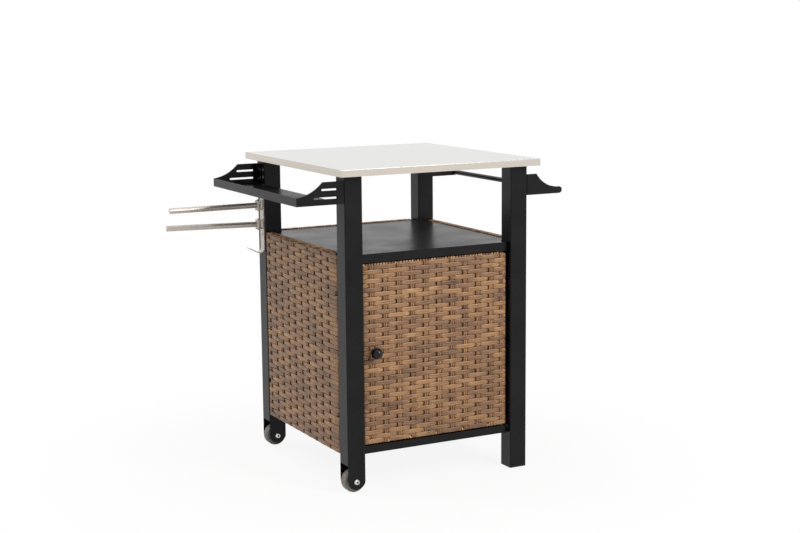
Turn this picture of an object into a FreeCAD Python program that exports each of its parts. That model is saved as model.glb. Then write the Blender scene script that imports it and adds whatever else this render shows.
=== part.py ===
import FreeCAD, Part
import math
import os
import re

import Sketcher
from FreeCAD import Rotation, Vector

# Outdoor bar cart: a square-tube frame with a folded steel top, a woven cabinet with a swinging door,
# two wheels under the left legs, a rack and a swivel hanger on the left, a handle rail on the right.
# X runs to the right along the front, Y to the rear and Z up. Lengths are millimetres, angles degrees.
# The cabinet's centre is the zero of every formula below; place() then moves it to centre the whole cart.

SIZES = {
    # Leg frame, over the outer faces of the four tubes
    "frame_wide": 540,
    "frame_deep": 566,
    "height": 845,
    "leg_size": 50,
    "leg_wall": 1.5,
    "leg_round": 3,
    # Folded steel top and the channels under it
    "top_thick": 18,
    "top_sheet": 1.2,
    "top_over_x": 23,
    "top_over_y": 31,
    "top_round": 3,
    "top_edge": 1,
    "top_return": 10,
    "channel_wide": 24,
    "channel_tall": 14,
    "channel_sheet": 1.5,
    "channel_end": 3,
    "channel_screw_edge": 8,
    "stiffener_wide": 60,
    # Screws, bolts and clearances
    "screw_radius": 2.5,
    "screw_head_radius": 4,
    "screw_head_tall": 2.4,
    "screw_grip": 6,
    "screw_past": 3,
    "bolt_radius": 3,
    "bolt_head_radius": 5.5,
    "bolt_head_tall": 3.5,
    "nut_radius": 5.8,
    "nut_tall": 5,
    "hole_gap": 0.1,
    "run_gap": 0.05,
    "seat_gap": 0.3,
    # Feet of the right legs
    "foot_flange": 3,
    "foot_plug": 25,
    "foot_wall": 3,
    # Wheels and forks of the left legs
    "wheel_radius": 30,
    "tyre_wide": 28,
    "tyre_thick": 9,
    "tyre_round": 6,
    "hub_inset": 2,
    "hub_wide": 30,
    "hub_rim": 3,
    "hub_web": 8,
    "hub_boss": 9,
    "sleeve_radius": 7,
    "axle_radius": 4,
    "axle_head_radius": 7.5,
    "axle_head_tall": 3.2,
    "axle_nut_radius": 7.4,
    "axle_nut_tall": 6.5,
    "axle_end": 2,
    "fork_drop": 10,
    "fork_clear": 15.5,
    # Woven panels on tube frames; the bay is the open space between the top's rim and the panels
    "tube": 15,
    "tube_wall": 1.2,
    "weave": 3.5,
    "panel_gap": 3,
    "panel_low": 96,
    "bay_tall": 202,
    "panel_bolt_edge": 104,
    "spacer_radius": 7,
    # Shelf and floor, folded sheet pans with a front lip
    "pan_sheet": 1.2,
    "pan_leg_gap": 2,
    "pan_screw_edge": 110,
    "shelf_sink": 3,
    "shelf_lip": 23,
    "floor_rise": 3.5,
    "floor_lip": 20.5,
    "lip_setback": 16,
    "lip_return": 45,
    # Door
    "door_gap": 5,
    "door_clear": 2,
    "door_pin_radius": 4,
    "door_pin_sunk": 18,
    "door_plug": 22,
    "bush_radius": 6.5,
    "bush_flange_radius": 9,
    "bush_barrel": 9,
    "knob_in": 29.5,
    "knob_up": 245,
    "knob_radius": 15,
    "knob_sunk": 3,
    "knob_neck": 9,
    "knob_neck_radius": 7,
    "knob_foot_radius": 8.5,
    "knob_thread": 16,
    "catch_in": 62,
    "catch_wide": 46,
    "catch_deep": 13,
    "catch_tall": 15,
    "catch_ear": 7,
    "strike_wide": 36,
    "strike_tall": 11,
    "strike_sheet": 1.5,
    # Rack on the left, hung a little below the top's rim
    "bracket_sheet": 2,
    "bracket_bend": 3,
    "bracket_flange": 30,
    "bracket_screw_edge": 15,
    "rack_down": 12,
    "rack_tall": 58,
    "rack_out": 131.5,
    "rack_flat": 60,
    "rack_hollow": 112,
    "rack_lip": 22,
    "rack_sheet": 1.5,
    "slot_tall": 5,
    "slot_start": 13,
    "slot_upper_end": 63,
    "slot_lower_end": 84,
    "slot_upper_down": 19.5,
    "slot_lower_up": 17.5,
    # Handle rail on the right
    "handle_down": 25,
    "handle_tall": 56,
    "handle_out": 111,
    "handle_flat": 30,
    "handle_neck": 7,
    "handle_hollow": 79,
    "handle_end_radius": 9,
    "rail_radius": 7,
    "rail_wall": 1.2,
    "rail_plug": 18,
    # Swivel hanger on the left face of the rear left leg, measured down from the rack
    "hanger_in": 31,
    "hanger_wide": 26,
    "hanger_sheet": 2,
    "hanger_down": 13,
    "hanger_screw_edge": 14,
    "hanger_screw_low": 29,
    "hook_down": 81.5,
    "hook_radius": 12,
    "hook_rise": 28,
    "hook_run": 27,
    "lug_thick": 3,
    "lug_wide": 18,
    "pin_out": 13,
    "pin_radius": 3,
    "pin_head_radius": 5.5,
    "pin_head_tall": 3,
    "pin_tail": 3,
    "arm_down": 57.5,
    "arm_pitch": 54,
    "arm_long": 260,
    "arm_radius": 8,
    "arm_wall": 1.2,
    "arm_cap": 2,
    "arm_cap_plug": 12,
    "arm_start": 4,
    "arm_solid": 28,
    "arm_lower_turn_deg": 10,
    "knuckle_radius": 8,
    "knuckle_tall": 20,
}

doc = FreeCAD.newDocument("outdoor_bar_cart")
sheet = doc.addObject("Spreadsheet::Sheet", "Sizes")
for row, (alias, number) in enumerate(SIZES.items(), start=1):
    sheet.set(f"A{row}", alias)
    sheet.set(f"B{row}", str(number))
    sheet.setAlias(f"B{row}", alias)
doc.recompute()

# Faces and middles of the leg frame, and the shift that centres the cart from arm tip to handle end
OUT_X = "(frame_wide/2)"
OUT_Y = "(frame_deep/2)"
IN_X = "(frame_wide/2 - leg_size)"
IN_Y = "(frame_deep/2 - leg_size)"
MID_X = "(frame_wide/2 - leg_size/2)"
MID_Y = "(frame_deep/2 - leg_size/2)"
RIM_LOW = "(height - top_thick)"
SHEET_UNDER = "(height - top_sheet)"
SHIFT_X = "((pin_out + arm_long - handle_out)/2)"

SIGN = {"left": -1, "right": 1, "front": -1, "rear": 1}
TURN = {"x": Rotation(Vector(0, 1, 0), 90), "y": Rotation(Vector(1, 0, 0), -90), "z": Rotation()}

# A screw's head: how far it narrows to its crown, and the depth and width of its socket
CROWN_SHARE = 0.7
SOCKET_DEPTH_SHARE = 0.6
SOCKET_WIDTH_SHARE = 0.45

nodes = []
leg_holes = {(side, end): [] for side in ("left", "right") for end in ("front", "rear")}


# Helpers for formulas

def formula(text):
    """The formula as the document spells it, with each size's name in its sheet."""
    return re.sub(r"[a-z]\w*", lambda word: f"Sizes.{word[0]}" if word[0] in SIZES else word[0], text)


def bind(thing, name, text):
    thing.setExpression(name, formula(text))


def value(text):
    return float(sheet.evalExpression(text))


def place(thing, x, y, z):
    for axis, text in zip("xyz", (f"{SHIFT_X} + ({x})", y, z)):
        bind(thing, f"Placement.Base.{axis}", text)


def rising(first, second):
    return (first, second) if value(first) < value(second) else (second, first)


# Helpers for plain solids; a pair of formulas gives two planes or two ends, in either order

def box(x, y, z):
    solid = doc.addObject("Part::Box", "Box")
    lows = []
    for name, pair in zip(("Length", "Width", "Height"), (x, y, z)):
        low, high = rising(*pair)
        bind(solid, name, f"({high}) - ({low})")
        lows.append(low)
    place(solid, *lows)
    return solid


def along_axis(solid, x, y, z):
    """Sets a bar of some height along the axis that is given as a pair."""
    places = dict(zip("xyz", (x, y, z)))
    axis = next(name for name, at in places.items() if isinstance(at, tuple))
    low, high = rising(*places[axis])
    solid.Placement.Rotation = TURN[axis]
    bind(solid, "Height", f"({high}) - ({low})")
    places[axis] = low
    place(solid, *places.values())


def rod(x, y, z, radius):
    solid = doc.addObject("Part::Cylinder", "Rod")
    bind(solid, "Radius", radius)
    along_axis(solid, x, y, z)
    return solid


def taper(x, y, z, first_radius, second_radius):
    ends = next(at for at in (x, y, z) if isinstance(at, tuple))
    in_order = rising(*ends) == ends
    solid = doc.addObject("Part::Cone", "Taper")
    bind(solid, "Radius1", first_radius if in_order else second_radius)
    bind(solid, "Radius2", second_radius if in_order else first_radius)
    along_axis(solid, x, y, z)
    return solid


def hexagon(x, y, z, radius):
    solid = doc.addObject("Part::Prism", "Hexagon")
    solid.Polygon = 6
    bind(solid, "Circumradius", radius)
    along_axis(solid, x, y, z)
    return solid


def ball(x, y, z, radius):
    solid = doc.addObject("Part::Sphere", "Ball")
    bind(solid, "Radius", radius)
    place(solid, x, y, z)
    return solid


def joined(*solids):
    fused = doc.addObject("Part::MultiFuse", "Joined")
    fused.Shapes = list(solids)
    return fused


def cut(base, *tools):
    result = doc.addObject("Part::Cut", "Cut")
    result.Base = base
    result.Tool = joined(*tools) if len(tools) > 1 else tools[0]
    return result


def screw(x, y, z, kind="screw", socket=False):
    """A screw along the axis that is given as (seat, tip), with its head on the seat."""
    places = [x, y, z]
    index = next(number for number, at in enumerate(places) if isinstance(at, tuple))
    seat, tip = places[index]
    way = 1 if value(tip) > value(seat) else -1
    crown = f"{seat} - ({way})*{kind}_head_tall"
    shank = rod(*places, f"{kind}_radius")
    places[index] = (seat, crown)
    head = taper(*places, f"{kind}_head_radius", f"{kind}_head_radius*{CROWN_SHARE}")
    if not socket:
        return joined(shank, head)
    places[index] = (crown, f"{crown} + ({way})*{kind}_head_tall*{SOCKET_DEPTH_SHARE}")
    return cut(joined(shank, head), hexagon(*places, f"{kind}_head_radius*{SOCKET_WIDTH_SHARE}"))


def hole(x, y, z, kind="screw"):
    return rod(x, y, z, f"{kind}_radius + hole_gap")


def washer(x, y, z, radius, kind):
    return cut(rod(x, y, z, radius), hole(x, y, z, kind))


def nut(x, y, z, radius, kind):
    return cut(hexagon(x, y, z, radius), hole(x, y, z, kind))


def node(label, solid):
    solid.Label = label
    nodes.append(solid)
    return solid


def group(label, solids):
    compound = doc.addObject("Part::Compound", "Group")
    compound.Links = solids
    return node(label, compound)


# Helpers for pieces that start from a sketch

def sketch_on(body, plane):
    sketch = body.newObject("Sketcher::SketchObject", "Outline")
    support = next(feature for feature in body.Origin.OriginFeatures if feature.Role == plane)
    sketch.AttachmentSupport = [(support, "")]
    sketch.MapMode = "FlatFace"
    return sketch


def arc_between(start, end, turn, radius):
    """The short arc from start to end, to the left for a turn of 1 and to the right for -1."""
    chord = end - start
    rise = math.sqrt(max(radius**2 - (chord.Length/2)**2, 0))
    centre = (start + end)*0.5 + Vector(-chord.y, chord.x, 0).normalize()*(rise*turn)
    ends = (start, end) if turn > 0 else (end, start)
    angles = [math.atan2(point.y - centre.y, point.x - centre.x) for point in ends]
    return Part.ArcOfCircle(Part.Circle(centre, Vector(0, 0, 1), radius), *angles)


def outline(sketch, points):
    """A closed outline: each point is (u, v), or (u, v, turn, radius) where an arc runs to the next."""
    spots = [Vector(value(point[0]), value(point[1]), 0) for point in points]
    edges = []
    for index, point in enumerate(points):
        start = spots[index]
        end = spots[(index + 1) % len(points)]
        if len(point) == 2:
            edge = sketch.addGeometry(Part.LineSegment(start, end))
            edges.append((edge, 1, 2))
        else:
            turn, radius = point[2:]
            edge = sketch.addGeometry(arc_between(start, end, turn, value(radius)))
            edges.append((edge, 1, 2) if turn > 0 else (edge, 2, 1))
            number = sketch.addConstraint(Sketcher.Constraint("Radius", edge, value(radius)))
            bind(sketch, f"Constraints[{number}]", radius)
    for index, point in enumerate(points):
        edge, first, last = edges[index]
        next_edge, next_first, _ = edges[(index + 1) % len(points)]
        sketch.addConstraint(Sketcher.Constraint("Coincident", edge, last, next_edge, next_first))
        for kind, text, at in zip(("DistanceX", "DistanceY"), point, spots[index]):
            number = sketch.addConstraint(Sketcher.Constraint(kind, -1, 1, edge, first, at))
            bind(sketch, f"Constraints[{number}]", text)


def plate(plane, thick, outlines, x="0", y="0", z="0"):
    """A flat piece of one or more outlines, as thick as said along the plane's positive axis."""
    body = doc.addObject("PartDesign::Body", "Plate")
    sketch = sketch_on(body, plane)
    for points in outlines:
        outline(sketch, points)
    pad = body.newObject("PartDesign::Pad", "Pad")
    pad.Profile = sketch
    pad.Reversed = plane == "XZ_Plane"
    bind(pad, "Length", thick)
    place(body, x, y, z)
    return body


def turned(points, x, y, z):
    """A round piece about the Y axis; its outline gives radius and distance along the axis."""
    body = doc.addObject("PartDesign::Body", "Turned")
    sketch = sketch_on(body, "XY_Plane")
    outline(sketch, points)
    revolution = body.newObject("PartDesign::Revolution", "Revolution")
    revolution.Profile = sketch
    revolution.ReferenceAxis = (sketch, ["V_Axis"])
    revolution.Angle = 360
    place(body, x, y, z)
    return body


def rounded_square(half_x, half_y, radius):
    """The outline of a rectangle with rounded corners, about its own middle."""
    points = []
    for sign_x, sign_y in ((1, -1), (1, 1), (-1, 1), (-1, -1)):
        on_x = (f"{sign_x}*({half_x} - ({radius}))", f"{sign_y}*({half_y})")
        on_y = (f"{sign_x}*({half_x})", f"{sign_y}*({half_y} - ({radius}))")
        first, last = (on_x, on_y) if sign_x != sign_y else (on_y, on_x)
        points += [(*first, 1, radius), last]
    return points


# Top: one steel sheet folded down into a rim and in again at its lower edge

TOP_HALF_X = f"({OUT_X} + top_over_x)"
TOP_HALF_Y = f"({OUT_Y} + top_over_y)"


def top_block(inset, radius, low, high):
    corners = rounded_square(f"({TOP_HALF_X} - {inset})", f"({TOP_HALF_Y} - {inset})", radius)
    return plate("XY_Plane", f"({high}) - ({low})", [corners], z=low)


top_skin = top_block("0", "top_round", RIM_LOW, "height")
doc.recompute()
top_pad = top_skin.Tip
top_edges = [f"Edge{number}" for number, edge in enumerate(top_pad.Shape.Edges, start=1)
             if min(vertex.Z for vertex in edge.Vertexes) > value("top_thick/2")]
eased = top_skin.newObject("PartDesign::Fillet", "Eased")
eased.Base = (top_pad, top_edges)
bind(eased, "Radius", "top_edge")
top_hollow = top_block("top_sheet", "(top_round - top_sheet)", f"{RIM_LOW} + top_sheet", SHEET_UNDER)
top_mouth = top_block("top_return", "top_round", RIM_LOW, f"{RIM_LOW} + top_sheet")
node("top_sheet", cut(top_skin, top_hollow, top_mouth))

# Channels spot-welded under the sheet between the legs, with end plates screwed to the legs

CHANNEL_LOW = f"({SHEET_UNDER} - channel_tall)"
CHANNEL_MID = f"({SHEET_UNDER} - channel_tall/2)"
CHANNEL_Z = (CHANNEL_LOW, SHEET_UNDER)
HOLLOW_Z = (CHANNEL_LOW, f"{SHEET_UNDER} - channel_sheet")


def around(middle, half):
    return (f"{middle} - ({half})", f"{middle} + ({half})")


channel_screws = []
for name in ("front", "rear", "left", "right"):
    runs_x = name in ("front", "rear")
    leg_face = IN_X if runs_x else IN_Y
    middle = f"({SIGN[name]}*{MID_Y if runs_x else MID_X})"
    ends = ("left", "right") if runs_x else ("front", "rear")

    def lying(along, across):
        return (along, across) if runs_x else (across, along)

    bar = box(*lying((f"-{leg_face}", leg_face), around(middle, "channel_wide/2")), CHANNEL_Z)
    inside = box(*lying((f"-{leg_face} + channel_end", f"{leg_face} - channel_end"),
                        around(middle, "channel_wide/2 - channel_sheet")), HOLLOW_Z)
    end_plates = []
    holes = []
    for end in ends:
        face = f"({SIGN[end]}*{leg_face})"
        seat = f"({face} - ({SIGN[end]})*channel_end)"
        tip = f"({face} + ({SIGN[end]})*(leg_wall + screw_past))"
        end_plates.append(box(*lying((seat, face), around(middle, "leg_size/2 - leg_round")), CHANNEL_Z))
        for across in around(middle, "leg_size/2 - channel_screw_edge"):
            at = lying((seat, tip), across)
            channel_screws.append(screw(*at, CHANNEL_MID))
            holes.append(hole(*at, CHANNEL_MID))
            leg_holes[(end, name) if runs_x else (name, end)].append(hole(*at, CHANNEL_MID))
    node(f"top_rail_{name}", cut(joined(cut(bar, inside), *end_plates), *holes))
group("top_rail_screws", channel_screws)

STIFFENER_X = (f"-{MID_X} + channel_wide/2", f"{MID_X} - channel_wide/2")
node("top_stiffener", cut(box(STIFFENER_X, around("0", "stiffener_wide/2"), CHANNEL_Z),
                          box(STIFFENER_X, around("0", "stiffener_wide/2 - channel_sheet"), HOLLOW_Z)))

# Wheels in the left forks: a tyre on a hub that turns on the axle between two sleeves

HUB_RADIUS = "(wheel_radius - tyre_thick)"
RIM_INSIDE = f"({HUB_RADIUS} - hub_rim)"
RIM_EDGE = "(tyre_wide/2 - hub_inset)"
BORE_RADIUS = "(axle_radius + run_gap)"
TREAD_EDGE = "(tyre_wide/2 - tyre_round)"
SHOULDER = "(wheel_radius - tyre_round)"
TYRE = [(HUB_RADIUS, "-tyre_wide/2"),
        (SHOULDER, "-tyre_wide/2", 1, "tyre_round"),
        ("wheel_radius", f"-{TREAD_EDGE}"),
        ("wheel_radius", TREAD_EDGE, 1, "tyre_round"),
        (SHOULDER, "tyre_wide/2"),
        (HUB_RADIUS, "tyre_wide/2")]
HUB_HALF = [("hub_boss", "hub_wide/2"), ("hub_boss", "hub_web/2"), (RIM_INSIDE, "hub_web/2"),
            (RIM_INSIDE, RIM_EDGE), (HUB_RADIUS, RIM_EDGE)]
HUB = ([(BORE_RADIUS, "-hub_wide/2")] + [(radius, f"-{along}") for radius, along in HUB_HALF]
       + HUB_HALF[::-1] + [(BORE_RADIUS, "hub_wide/2")])

axle_nuts = []
wheel_sleeves = []
for end in ("front", "rear"):
    middle = f"({SIGN[end]}*{MID_Y})"
    node(f"wheel_{end}_tyre", turned(TYRE, f"-{MID_X}", middle, "wheel_radius"))
    node(f"wheel_{end}_hub", turned(HUB, f"-{MID_X}", middle, "wheel_radius"))
    leg_front, leg_rear = around(middle, "leg_size/2")
    nut_end = f"{leg_rear} + axle_nut_tall"
    node(f"axle_{end}", screw(f"-{MID_X}", (leg_front, f"{nut_end} + axle_end"), "wheel_radius", "axle", True))
    axle_nuts.append(nut(f"-{MID_X}", (leg_rear, nut_end), "wheel_radius", "axle_nut_radius", "axle"))
    for reach in zip(around(middle, "hub_wide/2 + seat_gap"), around(middle, "leg_size/2 - leg_wall")):
        wheel_sleeves.append(washer(f"-{MID_X}", reach, "wheel_radius", "sleeve_radius", "axle"))
    leg_holes["left", end].append(hole(f"-{MID_X}", (leg_front, leg_rear), "wheel_radius", "axle"))
group("axle_nuts", axle_nuts)
group("wheel_sleeves", wheel_sleeves)

# Feet: plastic plugs pushed into the right legs, with a flange as wide as the leg

PLUG_HALF = "leg_size/2 - leg_wall - hole_gap"
PLUG_Z = ("foot_flange", "foot_flange + foot_plug")
for end in ("front", "rear"):
    middle = f"({SIGN[end]}*{MID_Y})"
    flange = plate("XY_Plane", "foot_flange", [rounded_square("leg_size/2", "leg_size/2", "leg_round")],
                   x=MID_X, y=middle)
    plug = box(around(MID_X, PLUG_HALF), around(middle, PLUG_HALF), PLUG_Z)
    well = box(around(MID_X, f"{PLUG_HALF} - foot_wall"), around(middle, f"{PLUG_HALF} - foot_wall"), PLUG_Z)
    node(f"foot_cap_{end}", joined(flange, cut(plug, well)))

# Woven panels: a welded tube frame with a cross bar, covered outside and wrapped round its edge.
# A panel is drawn by its width, its depth in from the outer face, and its height.

PANEL_DEEP = "(tube + 2*weave)"
PANEL_HIGH = f"({RIM_LOW} - bay_tall)"
PANEL_BAR = f"((panel_low + {PANEL_HIGH})/2)"
LIP_Y = f"(-{OUT_Y} + lip_setback)"
SHELF_TOP = f"({PANEL_HIGH} - shelf_sink)"
SHELF_LIP_LOW = f"({SHELF_TOP} - shelf_lip)"
FLOOR_TOP = "(panel_low + weave + tube + floor_rise)"
DOOR_LOW = f"({FLOOR_TOP} + door_clear)"
DOOR_HIGH = f"({SHELF_LIP_LOW} - door_clear)"
KNOB_Z = f"({DOOR_LOW} + knob_up)"
HALF_WIDTH = {"left": f"({IN_Y} - panel_gap)", "right": f"({IN_Y} - panel_gap)",
              "rear": f"({IN_X} - panel_gap)", "door": f"({IN_X} - door_gap)"}
OUTER_FACE = {"left": f"-{OUT_X}", "right": OUT_X, "rear": OUT_Y, "door": LIP_Y}
INWARD = {"left": 1, "right": -1, "rear": -1, "door": 1}
panel_holes = {panel: {"frame": [], "weave": []} for panel in HALF_WIDTH}


def spot(panel, across, deep):
    """The x and y of a place in a panel, from its width and its depth; one of them may be a pair."""
    def plane(depth):
        return f"{OUTER_FACE[panel]} + ({INWARD[panel]})*({depth})"
    at = tuple(plane(depth) for depth in deep) if isinstance(deep, tuple) else plane(deep)
    return (at, across) if panel in ("left", "right") else (across, at)


# Bolts through the frames' uprights into weld nuts in the legs, with spacers in the gap

panel_bolts = []
panel_nuts = []
panel_spacers = []
for panel in ("left", "right", "rear"):
    half = HALF_WIDTH[panel]
    leg_face = IN_X if panel == "rear" else IN_Y
    for tall in ("(panel_low + panel_bolt_edge)", f"({PANEL_HIGH} - panel_bolt_edge)"):
        for sign in (-1, 1):
            def reach(start, end):
                return (*spot(panel, (f"{sign}*({start})", f"{sign}*({end})"), f"{PANEL_DEEP}/2"), tall)

            upright_in = f"{half} - weave - tube"
            upright_out = f"{half} - weave"
            nut_face = f"{leg_face} + leg_wall"
            nut_end = f"{leg_face} + leg_wall + nut_tall"
            panel_bolts.append(screw(*reach(upright_in, nut_end), "bolt"))
            panel_nuts.append(nut(*reach(nut_face, nut_end), "nut_radius", "bolt"))
            panel_spacers.append(washer(*reach(half, leg_face), "spacer_radius", "bolt"))
            panel_holes[panel]["frame"].append(hole(*reach(upright_in, upright_out), "bolt"))
            panel_holes[panel]["weave"].append(hole(*reach(upright_out, half), "bolt"))
            panel_holes[panel]["weave"].append(rod(*reach(f"{upright_in} - weave", upright_in),
                                                   "bolt_head_radius + hole_gap"))
            side = ("left" if sign < 0 else "right") if panel == "rear" else panel
            end = "rear" if panel == "rear" or sign > 0 else "front"
            leg_holes[side, end].append(hole(*reach(leg_face, nut_face), "bolt"))
group("panel_bolts", panel_bolts)
group("panel_nuts", panel_nuts)
group("panel_spacers", panel_spacers)

# Screws through the flanges of the shelf and floor pans into the panels' tubes

pan_screws = []
pan_holes = {"shelf": [], "floor": []}
for pan, tall in (("shelf", f"{PANEL_HIGH} - weave - tube/2"), ("floor", "panel_low + weave + tube/2")):
    for panel in ("left", "right", "rear"):
        for sign in (-1, 1):
            across = f"{sign}*({HALF_WIDTH[panel]} - pan_screw_edge)"
            at = spot(panel, across, (f"{PANEL_DEEP} + pan_sheet", f"{PANEL_DEEP} - weave - screw_grip"))
            pan_screws.append(screw(*at, tall))
            for holes in (pan_holes[pan], panel_holes[panel]["frame"], panel_holes[panel]["weave"]):
                holes.append(hole(*at, tall))
group("pan_screws", pan_screws)

# Door fittings: pivot pins in the hinge upright and their bushes in the pans

PIN_X = f"({HALF_WIDTH['door']} - weave - tube/2)"
PIN_Y = f"({LIP_Y} + {PANEL_DEEP}/2)"
PIN_RUN = "door_pin_radius + run_gap"
for name, pan, door_edge, pan_face, up in (("top", "shelf", DOOR_HIGH, SHELF_LIP_LOW, 1),
                                           ("bottom", "floor", DOOR_LOW, FLOOR_TOP, -1)):
    tube_end = f"{door_edge} - ({up})*weave"
    sunk_end = f"{tube_end} - ({up})*door_pin_sunk"
    barrel_end = f"{pan_face} + ({up})*bush_barrel"
    flange_face = f"{door_edge} + ({up})*seat_gap"
    node(f"door_pin_{name}", rod(PIN_X, PIN_Y, (sunk_end, barrel_end), "door_pin_radius"))
    bush = joined(rod(PIN_X, PIN_Y, (flange_face, pan_face), "bush_flange_radius"),
                  rod(PIN_X, PIN_Y, (pan_face, barrel_end), "bush_radius"))
    node(f"door_bush_{name}", cut(bush, rod(PIN_X, PIN_Y, (flange_face, barrel_end), PIN_RUN)))
    panel_holes["door"]["frame"].append(rod(PIN_X, PIN_Y, (sunk_end, tube_end), PIN_RUN))
    panel_holes["door"]["weave"].append(hole(PIN_X, PIN_Y, (tube_end, door_edge), "door_pin"))
    pan_holes[pan].append(hole(PIN_X, PIN_Y, (pan_face, barrel_end), "bush"))

# Knob: a ball on a short neck, held by a screw through the door's cross bar

KNOB_X = f"(-{HALF_WIDTH['door']} + knob_in)"


def before_door(out):
    return f"{LIP_Y} - ({out})"


knob_hole = hole(KNOB_X, (before_door("0"), before_door("knob_thread")), KNOB_Z)
knob_form = joined(taper(KNOB_X, (before_door("0"), before_door("knob_neck")), KNOB_Z,
                         "knob_foot_radius", "knob_neck_radius"),
                   ball(KNOB_X, before_door("knob_neck + knob_radius - knob_sunk"), KNOB_Z, "knob_radius"))
node("door_knob", cut(knob_form, knob_hole))
knob_reach = spot("door", KNOB_X, ("weave + tube", "-knob_thread"))
node("knob_screw", screw(*knob_reach, KNOB_Z))
panel_holes["door"]["frame"].append(hole(*knob_reach, KNOB_Z))
panel_holes["door"]["weave"].append(hole(*knob_reach, KNOB_Z))

# Magnetic catch under the shelf's lip, and its strike plate on the back of the door

CATCH_X = f"(-{HALF_WIDTH['door']} + catch_in)"
CATCH_Y = (f"{LIP_Y} + {PANEL_DEEP} + strike_sheet + seat_gap",
           f"{LIP_Y} + {PANEL_DEEP} + strike_sheet + seat_gap + catch_deep")
CATCH_LOW = f"({SHELF_LIP_LOW} - catch_tall)"
catch_mid = f"({CATCH_Y[0]} + catch_deep/2)"
catch_screws = []
catch_holes = []
for across in around(CATCH_X, "catch_wide/2 - catch_ear"):
    at = (across, catch_mid, (CATCH_LOW, f"{SHELF_LIP_LOW} + pan_sheet + screw_past"))
    catch_screws.append(screw(*at))
    catch_holes.append(hole(*at))
    pan_holes["shelf"].append(hole(*at))
node("catch_magnet", cut(box(around(CATCH_X, "catch_wide/2"), CATCH_Y, (CATCH_LOW, SHELF_LIP_LOW)), *catch_holes))
group("catch_screws", catch_screws)

STRIKE_Z = f"({DOOR_HIGH} - weave - tube/2)"
strike_plate = box(*spot("door", around(CATCH_X, "strike_wide/2"), (PANEL_DEEP, f"{PANEL_DEEP} + strike_sheet")),
                   around(STRIKE_Z, "strike_tall/2"))
peg_reach = spot("door", CATCH_X, (f"{PANEL_DEEP} - weave - tube_wall", PANEL_DEEP))
node("catch_strike", joined(strike_plate, rod(*peg_reach, STRIKE_Z, "screw_radius")))
panel_holes["door"]["frame"].append(hole(*peg_reach, STRIKE_Z))
panel_holes["door"]["weave"].append(hole(*peg_reach, STRIKE_Z))

# The panels themselves, and the door, from the same drawing

for panel, half in HALF_WIDTH.items():
    is_door = panel == "door"
    low = DOOR_LOW if is_door else "panel_low"
    high = DOOR_HIGH if is_door else PANEL_HIGH
    bar = KNOB_Z if is_door else PANEL_BAR
    tube_in = ("weave", "weave + tube")
    bore_in = ("weave + tube_wall", "weave + tube - tube_wall")
    window = around("0", f"{half} - weave - tube")
    form = cut(box(*spot(panel, around("0", f"{half} - weave"), tube_in), (f"{low} + weave", f"{high} - weave")),
               box(*spot(panel, window, tube_in), (f"{low} + weave + tube", f"{bar} - tube/2")),
               box(*spot(panel, window, tube_in), (f"{bar} + tube/2", f"{high} - weave - tube")))
    bores = []
    for sign in (-1, 1):
        plug = "door_plug" if is_door and sign > 0 else "0"
        across = (f"{sign}*({half} - weave - tube + tube_wall)", f"{sign}*({half} - weave - tube_wall)")
        bores.append(box(*spot(panel, across, bore_in), (f"{low} + weave + {plug}", f"{high} - weave - {plug}")))
    rails = ((f"({low} + weave + tube/2)", is_door), (bar, False), (f"({high} - weave - tube/2)", is_door))
    for middle, meets_plug in rails:
        right_end = f"{half} - weave - tube" if meets_plug else f"{half} - weave - tube/2"
        ends = (f"-({half} - weave - tube/2)", right_end)
        bores.append(box(*spot(panel, ends, bore_in), around(middle, "tube/2 - tube_wall")))
    skin = box(*spot(panel, around("0", half), ("0", PANEL_DEEP)), (low, high))
    recess = box(*spot(panel, around("0", f"{half} - 2*weave - tube"), ("weave", PANEL_DEEP)),
                 (f"{low} + 2*weave + tube", f"{high} - 2*weave - tube"))
    prefix = "door" if is_door else f"panel_{panel}"
    node(f"{prefix}_frame", cut(form, *bores, *panel_holes[panel]["frame"]))
    node(f"{prefix}_weave", cut(skin, form, recess, *panel_holes[panel]["weave"]))

# Shelf and floor: sheets notched round the legs, with flanges on the panels and a folded front lip

PAN_WIDE = f"({OUT_X} - {PANEL_DEEP})"
PAN_NARROW = f"({IN_X} - pan_leg_gap)"
PAN_NOTCH = f"({IN_Y} - pan_leg_gap)"
PAN_REAR = f"({OUT_Y} - {PANEL_DEEP})"
PAN_RIGHT = [(PAN_NARROW, LIP_Y), (PAN_NARROW, f"-{PAN_NOTCH}"), (PAN_WIDE, f"-{PAN_NOTCH}"),
             (PAN_WIDE, PAN_NOTCH), (PAN_NARROW, PAN_NOTCH), (PAN_NARROW, PAN_REAR)]
PAN_DECK = PAN_RIGHT + [(f"-{x}", y) for x, y in PAN_RIGHT[::-1]]
for pan, top, lip, flange_low in (("shelf", SHELF_TOP, "shelf_lip", f"{PANEL_HIGH} - weave - tube"),
                                  ("floor", FLOOR_TOP, "floor_lip", "panel_low + weave")):
    front = around("0", PAN_NARROW)
    lip_low = f"{top} - {lip}"
    folds = [box((f"{sign}*{PAN_WIDE}", f"{sign}*({PAN_WIDE} - pan_sheet)"), around("0", PAN_NOTCH),
                 (flange_low, top)) for sign in (-1, 1)]
    folds.append(box(front, (PAN_REAR, f"{PAN_REAR} - pan_sheet"), (flange_low, top)))
    folds.append(box(front, (LIP_Y, f"{LIP_Y} + pan_sheet"), (lip_low, top)))
    folds.append(box(front, (LIP_Y, f"{LIP_Y} + lip_return"), (lip_low, f"{lip_low} + pan_sheet")))
    deck = plate("XY_Plane", "pan_sheet", [PAN_DECK], z=f"{top} - pan_sheet")
    node(f"{pan}_pan", cut(joined(deck, *folds), *pan_holes[pan]))


# Side brackets: plates flush with the legs' front and rear faces, with a flange on the leg's side

def beside(side, out):
    return f"{SIGN[side]}*({OUT_X} + {out})"


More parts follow.
